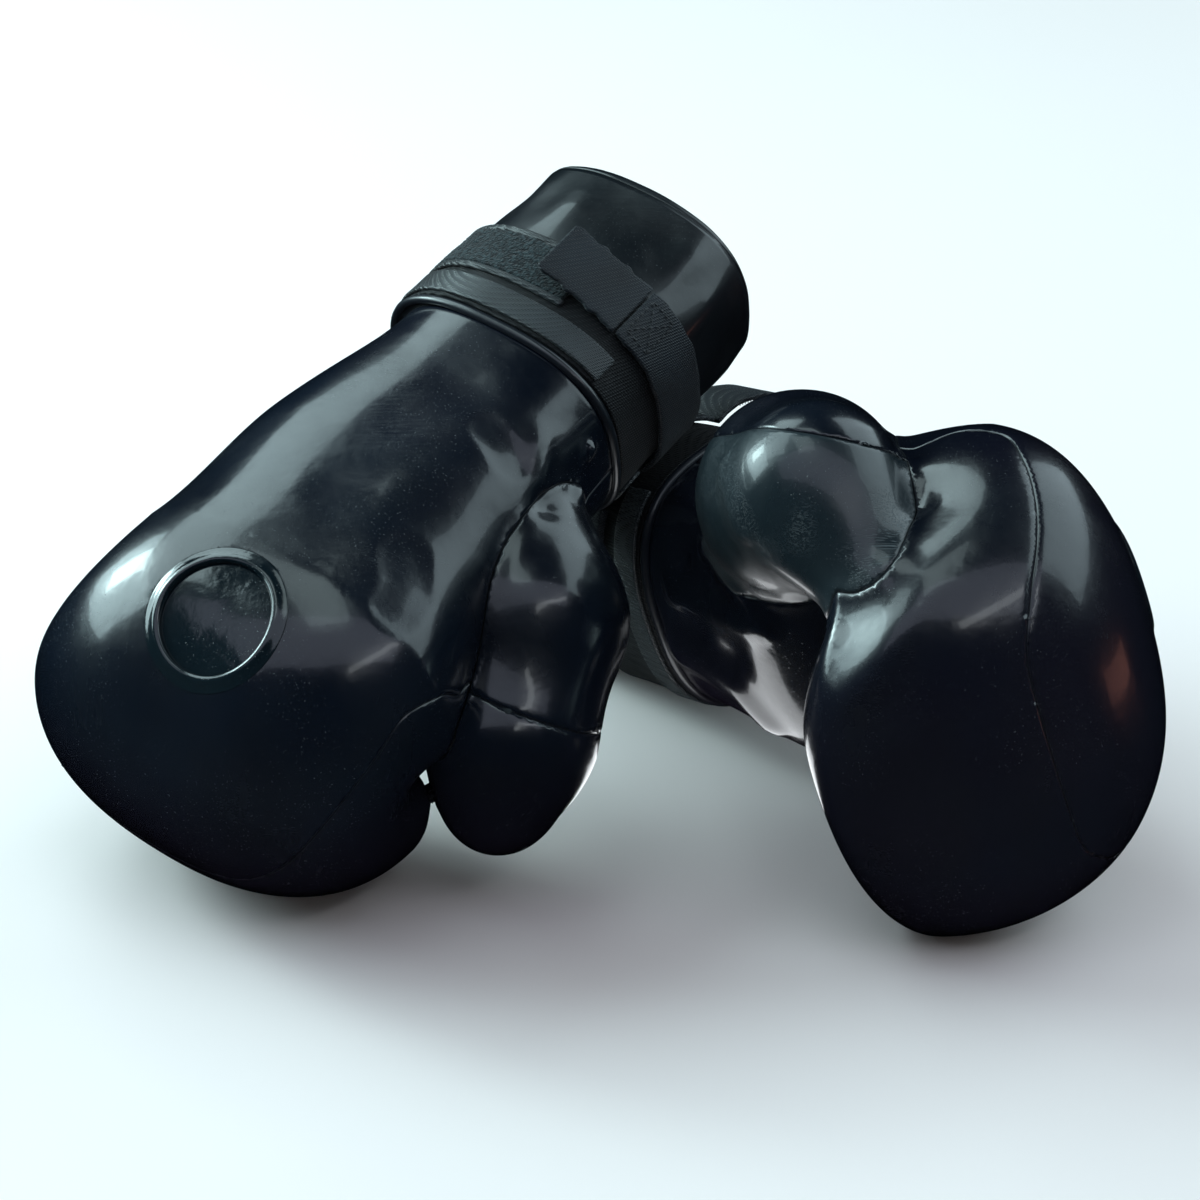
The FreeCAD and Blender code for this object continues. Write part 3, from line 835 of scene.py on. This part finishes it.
def build_badge(side):
    turn = np.radians(np.arange(0, 360, 3.0))[:, None]
    r0 = BADGE_R - BADGE_RING
    # a rounded bead with a thin skirt that lies on the skin around the pocket
    outline = np.array([(0, -2.5), (0, 0.1), (0.25, 0.65), (0.8, 1.1), (1.6, 1.32), (2.4, 1.2), (3.2, 0.85),
                        (4.1, 0.5), (5.1, 0.3), (5.7, 0.2), (5.95, 0.1), (5.7, 0.05), (3.5, 0.05),
                        (3.1, -0.3), (3.0, -2.4)])[::-1]
    r, height, t = np.broadcast_arrays(r0 + outline[None, :, 0], outline[None, :, 1], turn)
    rows = badge_points(r, t, height)
    add_piece(side, "badge_ring", *sweep(rows, True), MATS["badge"], "badge_rubber")
    # the dished face inside the ring
    edge = r0 + 0.9
    radii = np.linspace(0.5, edge, 14)
    dish = -0.9 - 0.54 * np.clip(1 - (radii / edge) ** 2, 0, 1)
    r, height, t = np.broadcast_arrays(radii[None], dish[None], turn)
    rows = np.concatenate([badge_points(r, t, height), badge_points(r, t, 0 * height - 2.3)[:, ::-1]], 1)
    P, F = sweep(rows, True, False)
    m = rows.shape[1]
    n = len(rows)
    F.append([i * m for i in range(n)])
    F.append([i * m + m - 1 for i in range(n)][::-1])
    add_piece(side, "badge_dome", P, F, MATS["badge"], "badge_rubber")


# ---- thumb link ---------------------------------------------------------------------------
def build_link(side):
    x0, y0, z0, r = THUMBS[side][2]
    c = np.array([x0 - 6, y0, z0 + r - 3.5])
    half = np.array([15.0, 8.0, 5.0])

    def field(p):
        q = np.abs(p - c) - half + 2.5
        box = np.linalg.norm(np.maximum(q, 0), axis=-1) + np.minimum(q.max(-1), 0) - 2.5
        body = skin_distance(p, side, False)
        near = np.maximum(mitt_distance(p), thumb_distance(p, side)) - 1.4
        return np.maximum.reduce([box, -(body + 0.5), near])
    V, Q = surface_net(field, c - half - 2, c + half + 2, 0.9)
    if len(V) > 50:
        add_piece(side, "thumb_link", onto(field, V, 2, 0.5), Q, MATS["rubber"], "rubber")


# ---- sleeve, rim, lining and pads ----------------------------------------------------------
def fold_height(y, angle, side):
    """Soft folds of the bare sleeve, strongest near its mouth."""
    t = np.radians(angle)
    amount = np.clip((-y - 46) / 22, 0, 1) * np.clip((90.5 + y) / 14, 0.15, 1)
    wave = 0.9 * np.sin(5 * t + 0.6 + y / 34) + 0.55 * np.sin(9 * t - y / 21 + 1.9)
    wave = wave + 0.35 * np.sin(14 * t + y / 15)
    return amount * wave * (1.0 if side == "right" else 0.8)


def bore_point(y, angle, out):
    t = np.radians(angle)
    y, t, out = np.broadcast_arrays(np.asarray(y, float), t, np.asarray(out, float))
    r = BORE_R + out
    return np.stack([r * np.cos(t), y, BORE_Z + r * np.sin(t)], -1)


def build_sleeve(side):
    t = ROUND[:, None]
    ys = np.linspace(-88.9, 0.3, 46)[None]
    outer = sleeve_point(ys, t, fold_height(ys, t, side))
    inner = bore_point(ys[:, ::-1], t, 0.6)
    rows = np.concatenate([outer, inner], 1)
    add_piece(side, "sleeve", *flip(rows), MATS["sleeve"], "sleeve_rubber")
    # the rolled edge at the mouth
    a = np.radians(np.linspace(0, 180, 15))
    lip_y = MOUTH - 0.2 - 3.6 * np.sin(a)
    outside = sleeve_point(MOUTH, t, fold_height(MOUTH, t, side) - 0.1)
    inside = bore_point(MOUTH, t, 0.8)
    rows = outside + (inside - outside) * ((1 - np.cos(a)) / 2)[None, :, None]
    rows[..., 1] = lip_y[None]
    back = rows[:, ::-1].copy()
    back[..., 1] = MOUTH - 0.1
    P, F = sweep(np.concatenate([rows, back[:, 1:-1]], 1), True)
    add_piece(side, "sleeve_rim", P, F, MATS["sleeve"], "sleeve_rubber")


# hand space, with the fingers half curled: distance, half width, top, bottom, widest height
SPACE = np.array([(0, 36, 32, -33, 0), (30, 40, 29, -31, 0), (60, 44, 25.5, -28.5, 0),
                  (88, 46, 21.5, -27, -1), (112, 46, 14.5, -33, -7), (130, 45.5, 7, -44.5, -17),
                  (146, 43, -0.5, -52.5, -26), (160, 38, -9.5, -55.5, -32), (171, 29, -19, -50, -34)])
space_row = smooth_table(SPACE)
PAD_STEP = 4.5                    # the foam's mesh spacing
PAD_UNDER = 3.6                   # how far its outside is under the skin's outside
STALL = 13.0                      # and how far the thumb's hollow is


def space_point(y, angle, grow):
    row = space_row(y)
    a, top, bottom, widest = (row[..., k] for k in range(4))
    t = np.radians(angle)
    c, s = np.cos(t), np.sin(t)
    h = np.where(s > 0, top - widest, widest - bottom) + grow
    x = (a + grow) * np.sign(c) * np.abs(c) ** 0.9
    return np.stack([x, y + 0 * t, widest + h * np.sign(s) * np.abs(s) ** 0.9], -1)


def build_lining(side):
    t = np.arange(0, 360, 4.0)[:, None]
    ys = np.linspace(0.6, 171.0, 60)[None]
    wrinkle = 0.25 * np.sin(np.radians(t) * 11 + ys / 9)
    inner = space_point(ys + 0 * t, t + 0 * ys, 0.2 + wrinkle)
    outer = space_point(ys + 0 * t, t + 0 * ys, 1.35 + wrinkle)
    P, F = sweep(np.concatenate([inner, outer[:, ::-1]], 1), True)
    add_piece(side, "lining", P, F, MATS["lining"], "lining_cloth")


def build_pads(side):
    """Foam between the skin and the lining: the back and knuckles, the palm, and round the thumb."""
    def space_distance(p):
        y = np.clip(p[..., 1], 0, 172)
        row = space_row(y)
        a, top, bottom, widest = (row[..., k] + g for k, g in zip(range(4), (2, 2, -2, 0)))
        h = np.where(p[..., 2] > widest, top - widest, widest - bottom)
        q = np.hypot(p[..., 0] / a, (p[..., 2] - widest) / h)
        return np.maximum((q - 1) * 30, p[..., 1] - 174)

    def stall(p):
        return thumb_distance(p, side) + STALL

    def under_skin(p):
        return np.maximum(mitt_distance(p) + PAD_UNDER - np.minimum(relief(p, side), 0), 1.5 - p[..., 1])

    def back(p):
        split = np.where(p[..., 1] < 108, p[..., 2] + 3.6, 1.0)
        return np.maximum.reduce([under_skin(p), -space_distance(p), -stall(p), -split])

    def palm(p):
        edge = np.maximum(p[..., 2] + 4.4, p[..., 1] - 107.4)
        return np.maximum.reduce([under_skin(p), -space_distance(p), -stall(p), edge])

    def thumb(p):
        return np.maximum.reduce([thumb_distance(p, side) + PAD_UNDER, -stall(p), 0.6 - mitt_distance(p)])

    for name, field in (("back_pad", back), ("palm_pad", palm), ("thumb_pad", thumb)):
        V, Q = surface_net(field, (-92, -4, -110), (116, 216, 54), PAD_STEP)
        obj = add_piece(side, name, V, Q, MATS["foam"], "foam")


# ---- bands and strap ----------------------------------------------------------------------
# from and to along the sleeve, and thickness
BAND, BAND_T = (-48.0, -3.0), 1.2
PILE, PILE_T = (-43.5, -23.0), 1.6
HEM, HEM_T = 3.0, 1.8
TAPE, TAPE_T = (-16.5, -4.5), 1.6
STRAP = (-49.0, -24.0)
STRAP_T = 2.0
STRAP_LOW = BAND_T + HEM_T + 0.4
ANCHOR = -40.0                    # angle round the sleeve where the strap leaves its sewn end
STITCH = {"left": 36.0, "right": 52.0}          # and where its box stitch ends
# the free end: how steeply it leaves the sleeve, how far it bends on its way, and its length
LIFT = {"left": 58.0, "right": 1.0}
BEND = {"left": -95.0, "right": -10.0}
TAB_LEN = {"left": 60.0, "right": 37.0}
HOOKS_FROM = 9                    # the tab's station where its hook tape begins


def angle_at_x(x, y=-30.0):
    """The sleeve angle where its top is at that x."""
    t = np.linspace(0.5, 179.5, 400)
    p = sleeve_point(y, t, 0)
    return float(t[np.argmin(np.abs(p[:, 0] - x))])


def build_bands(side):
    rows = band(*BAND, 0.05, BAND_T, ROUND, 0.45, 0.12, 24, 0.4)
    add_piece(side, "wrist_band", *flip(rows), MATS["band"], "band_webbing")
    a0, a1 = angle_at_x(14), angle_at_x(-52)
    span = np.linspace(a0, a1, 90)
    rows = band(*PILE, BAND_T, BAND_T + PILE_T, span, 0.6, 0.2, 30, 1.0)
    # a nap of loose loops: each point stands up by its own amount
    up = rng.random(rows.shape[:2]) * 0.55
    n = rows.copy()
    n[..., 1] = 0
    n /= np.linalg.norm(n, axis=-1)[..., None]
    high = np.hypot(rows[..., 0], rows[..., 2])
    rows = rows + n * up[..., None] * (high > np.median(high))[..., None]
    add_piece(side, "pile_panel", *flip(rows, False), MATS["pile"], "loop_pile")
    long = np.linspace(a0 - 1, a1 + 1, 90)
    for name, y, seed in (("hem_rear", PILE[0] - HEM, 2.0), ("hem_front", PILE[1], 3.0)):
        rows = band(y, y + HEM, BAND_T, BAND_T + HEM_T, long, 0.85, 0.1, 4, seed)
        add_piece(side, name, *flip(rows, False), MATS["satin"], "binding")
    tape = np.linspace(angle_at_x(41, -10), 334.0, 220)
    rows = band(*TAPE, BAND_T, BAND_T + TAPE_T, tape, 0.7, 0.16, 12, 4.0)
    add_piece(side, "cuff_tape", *flip(rows, False), MATS["satin"], "binding")
    a = np.radians(np.linspace(0, 360, 13)[:-1])
    t = ROUND[:, None]
    rows = sleeve_point(-0.3 + 1.9 * np.cos(a)[None], t, 0.35 + 1.7 * np.sin(a)[None])
    add_piece(side, "wrist_welt", *flip(rows), MATS["rubber"], "binding")


def flip(rows, closed=True):
    P, F = sweep(rows, closed)
    return P, [f[::-1] for f in F]


def ribbon(path, outward, y0, y1, low, high, r=0.7, edge_wave=0.0, across=10):
    """A strip whose side outline follows the path, with rounded, slightly wavy edges."""
    outline = rounded(y0, y1, low, high, r, 3, across)
    rows = path[:, None, :] + outward[:, None, :] * outline[None, :, 1:2]
    rows[..., 1] = outline[None, :, 0]
    s = np.arange(len(path))[:, None] / max(len(path) - 1, 1)
    w = edge_wave * (np.sin(s * 23) + 0.6 * np.sin(s * 41 + 1))
    share = (rows[..., 1] - (y0 + y1) / 2) / (y1 - y0) * 2
    rows[..., 1] += w * share ** 3
    return rows


def strap_line(first, last, out, steps):
    t = np.linspace(first, last, steps)
    p0, p1 = sleeve_point(STRAP[0], t, out), sleeve_point(STRAP[0], t, out + 1)
    return p0, p1 - p0


def tab_line(side, steps=40):
    start = STITCH[side] + 1.2 + 3.2 * math.sin(math.radians(LIFT[side]))
    p0, n0 = strap_line(start, start, STRAP_LOW, 1)
    p, n0 = p0[0].copy(), n0[0]
    along0 = np.array([-n0[2], 0, n0[0]])
    pts, normals = [], []
    for k in range(steps):
        turn = math.radians(LIFT[side] + BEND[side] * k / (steps - 1))
        pts.append(p.copy())
        normals.append(n0 * math.cos(turn) - along0 * math.sin(turn))
        p = p + (along0 * math.cos(turn) + n0 * math.sin(turn)) * TAB_LEN[side] / (steps - 1)
    return np.array(pts), np.array(normals)


def stitches(path_points, outward, long=2.2, width=0.75, gap=0.8):
    """Short rounded stitches along a line of points."""
    P, F = [], []
    lengths = np.r_[0, np.cumsum(np.linalg.norm(np.diff(path_points, axis=0), axis=1))]

    def at(distance, rows):
        return np.array([np.interp(distance, lengths, rows[:, k]) for k in range(3)])

    s = 0.3
    while s + long < lengths[-1]:
        ends = [at(q, path_points) for q in (s, s + long)]
        up = at(s + long / 2, outward)
        up /= np.linalg.norm(up)
        d = (ends[1] - ends[0]) / long
        side = np.cross(up, d)
        base = len(P)
        for i in range(7):
            f = i / 6
            w = width / 2 * math.sqrt(max(1 - (2 * f - 1) ** 4, 0.05))
            lift = 0.28 * math.sin(math.pi * f)
            c = ends[0] + d * long * f + up * (lift - 0.12)
            for j in range(6):
                a = math.pi * 2 * j / 6
                P.append(c + side * w * math.cos(a) + up * w * 0.8 * math.sin(a))
        for i in range(6):
            for j in range(6):
                a, b = base + i * 6 + j, base + i * 6 + (j + 1) % 6
                F.append([a, b, b + 6, a + 6])
        F.append([base + j for j in range(6)][::-1])
        F.append([base + 36 + j for j in range(6)])
        s += long + gap
    return P, F


def hook_tape(path, normals):
    """The tape under the tab, with its rows of small mushroom hooks."""
    rows = ribbon(path[HOOKS_FROM:], normals[HOOKS_FROM:], STRAP[0] + 2.5, STRAP[1] - 2.5, -1.0, -0.05, 0.4)
    P, F = flip(rows, False)
    P = P.tolist()
    profile = ((-0.1, 0.16), (0.55, 0.13), (0.62, 0.3), (0.78, 0.12))
    for i in range(HOOKS_FROM + 1, len(path) - 1):
        along = (path[i] - path[i - 1]) / np.linalg.norm(path[i] - path[i - 1])
        for j in range(13):
            y = STRAP[0] + 3.6 + j * (STRAP[1] - STRAP[0] - 7.2) / 12
            base = len(P)
            for h, w in profile:
                for a in range(5):
                    q = path[i] - normals[i] * (1.0 + h) + along * w * math.cos(a * 1.2566)
                    P.append([q[0], y + w * math.sin(a * 1.2566), q[2]])
            for k in range(3):
                for a in range(5):
                    u, v = base + k * 5 + a, base + k * 5 + (a + 1) % 5
                    F.append([u, u + 5, v + 5, v])
            F.append([base + a for a in range(5)])
            F.append([base + 15 + a for a in range(5)][::-1])
    return np.array(P), F


def build_strap(side):
    top = STRAP_LOW + STRAP_T
    pts, out = strap_line(ANCHOR, STITCH[side], 0.0, 70)
    rows = ribbon(pts, out, *STRAP, STRAP_LOW, top, 0.8, 0.25)
    add_piece(side, "strap", *flip(rows, False), MATS["strap"], "strap_webbing")
    path, normals = tab_line(side)
    rows = ribbon(path, normals, *STRAP, 0.0, STRAP_T, 0.8, 0.45)
    add_piece(side, "strap_tab", *flip(rows, False), MATS["strap"], "strap_webbing")
    add_piece(side, "hook_patch", *hook_tape(path, normals), MATS["hooks"], "hook_tape")
    # box stitching with crossed lines
    mid = (STRAP[0] + STRAP[1]) / 2
    a0, a1 = STITCH[side] - 18, STITCH[side] - 3

    def place(u, v, steps=30):
        t = np.linspace(u[0], v[0], steps)
        y = np.linspace(u[1], v[1], steps)
        p, q = sleeve_point(STRAP[0], t, top), sleeve_point(STRAP[0], t, top + 1)
        out = q - p
        p = p.copy()
        p[:, 1] = y
        return p, out
    corners = [(a0, mid - 8.5), (a1, mid - 8.5), (a1, mid + 8.5), (a0, mid + 8.5)]
    lines = list(zip(corners, corners[1:] + corners[:1])) + [corners[::2], corners[1::2]]
    P, F = [], []
    for u, v in lines:
        p, f = stitches(*place(u, v))
        F += [[k + len(P) for k in face] for face in f]
        P += p
    add_piece(side, "box_stitch", np.array(P), F, MATS["thread"], "thread")
    pts, out = strap_line(ANCHOR - 22, ANCHOR - 1.5, 0.0, 16)
    rows = ribbon(pts, out, *STRAP, BAND_T, top, 0.8, 0.2)
    add_piece(side, "strap_anchor", *flip(rows, False), MATS["strap"], "strap_webbing")


for side in ("left", "right"):
    build_skin(side)
    build_badge(side)
    build_link(side)
    build_sleeve(side)
    build_lining(side)
    build_pads(side)
    build_bands(side)
    build_strap(side)


# ---- floor, light and camera ---------------------------------------------------------------
def floor():
    bm = bmesh.new()
    bmesh.ops.create_grid(bm, x_segments=8, y_segments=8, size=4.0)
    mesh = bpy.data.meshes.new("floor")
    bm.to_mesh(mesh)
    bm.free()
    m, shader, where, node, links = tree("floor")
    colour = mix(node, noise(node, where, 3.0), (0.95, 0.885, 0.870), (0.97, 0.905, 0.890))
    links.new(colour, shader.inputs["Base Color"])
    shader.inputs["Roughness"].default_value = 0.9
    shader.inputs["Specular IOR Level"].default_value = 0.1
    mesh.materials.append(m)
    obj = bpy.data.objects.new("floor", mesh)
    obj.visible_glossy = False
    link(obj)


def area_light(name, place, target, size, power, colour=(1, 1, 1), shape="RECTANGLE", diffuse=1.0):
    data = bpy.data.lights.new(name, "AREA")
    data.shape = shape
    data.size, data.size_y = size
    data.energy = power
    data.color = colour
    data.diffuse_factor = diffuse
    obj = bpy.data.objects.new(name, data)
    obj.location = place
    obj.rotation_euler = (Vector(target) - Vector(place)).to_track_quat("-Z", "Y").to_euler()
    link(obj)
    return obj


def world(strength):
    w = bpy.data.worlds.new("studio")
    w.use_nodes = True
    w.node_tree.nodes["Background"].inputs["Color"].default_value = (1, 1, 1, 1)
    w.node_tree.nodes["Background"].inputs["Strength"].default_value = strength
    w.cycles_visibility.glossy = False
    bpy.context.scene.world = w


def camera():
    """Looks down at the pair, from in front, through a long lens."""
    elevation, distance, focal, sensor = math.radians(28.84), 1.4, 3.133, 36
    target = Vector((0.49, -11.017, 85.91)) / 1000
    data = bpy.data.cameras.new("camera")
    data.sensor_width = sensor
    data.lens = sensor * focal
    obj = bpy.data.objects.new("camera", data)
    obj.location = target + distance * Vector((0, -math.cos(elevation), math.sin(elevation)))
    obj.rotation_euler = (math.pi / 2 - elevation, 0, 0)
    link(obj)
    bpy.context.scene.camera = obj


def panel(name, azimuth, elevation, distance, size, radiance, colour, diffuse=0.4):
    """A soft light in a direction from the mitts: azimuth from straight behind them, to the right."""
    a, e = math.radians(azimuth), math.radians(elevation)
    middle = Vector((0, -0.01, 0.09))
    place = middle + distance * Vector((math.sin(a) * math.cos(e), math.cos(a) * math.cos(e), math.sin(e)))
    area_light(name, place, middle, size, radiance * math.pi * size[0] * size[1], colour, diffuse=diffuse)


floor()
world(0.16)
panel("window", -72, 24, 1.7, (1.2, 0.75), 6.0, (0.70, 0.96, 1.0))
panel("window_core", -66, 27, 1.6, (0.30, 0.42), 16.0, (0.74, 1.0, 1.0))
panel("window_top", -56, 50, 1.7, (1.6, 0.8), 3.4, (0.72, 0.96, 1.0))
panel("overhead", -100, 80, 1.5, (0.9, 0.5), 1.7, (0.76, 0.97, 1.0), 1.8)
panel("right_back", 65, 36, 1.8, (2.0, 1.3), 1.8, (0.72, 0.92, 1.0))
panel("front_top", 180, 62, 1.8, (3.4, 1.0), 0.8, (0.74, 0.82, 1.0))
panel("strip", 145, 45, 1.6, (1.1, 0.12), 3.0, (0.9, 0.97, 1.0))
panel("warm", 92, -5, 0.6, (0.16, 0.06), 0.7, (1.0, 0.4, 0.3), 0.0)
card = area_light("card", (0.03, -0.02, 0.004), (0.03, -0.02, 0.5), (0.07, 0.05), 2.4 * math.pi * 0.0035,
                  (0.93, 0.97, 1.0), diffuse=0.2)
card.visible_camera = False
camera()
bpy.context.scene.view_settings.view_transform = "Standard"
